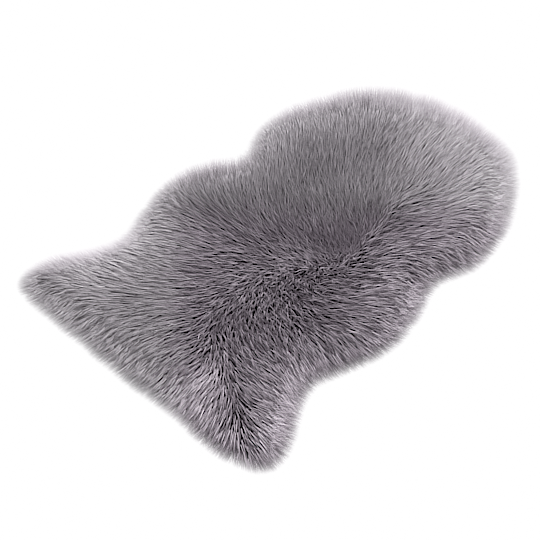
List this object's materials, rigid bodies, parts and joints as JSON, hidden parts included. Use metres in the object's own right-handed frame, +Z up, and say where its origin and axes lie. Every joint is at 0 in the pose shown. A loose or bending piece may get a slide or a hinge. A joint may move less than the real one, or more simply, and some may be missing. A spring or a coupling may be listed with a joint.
{
  "type": "shag rug",
  "caption": "Flat shag rug in the outline of a fleece, with long grey pile combed outwards from its spine to loose locks round the rim, to lie on a floor or over a seat.",
  "frame": {"origin": "on the floor, under the middle of the rug's box", "axes": "+Y along the spine from the tail to the head, +X across the rug, +Z up out of the pile"},
  "size_m": [0.6064, 0.914, 0.0498],
  "materials": {
    "pile": "long combed pile, dark between the locks and paler at the tips, with a soft sheen",
    "backing": "plain knitted backing cloth, matt"
  },
  "bodies": {
    "root": {"shag_rug": "pile"}
  },
  "joints": []
}
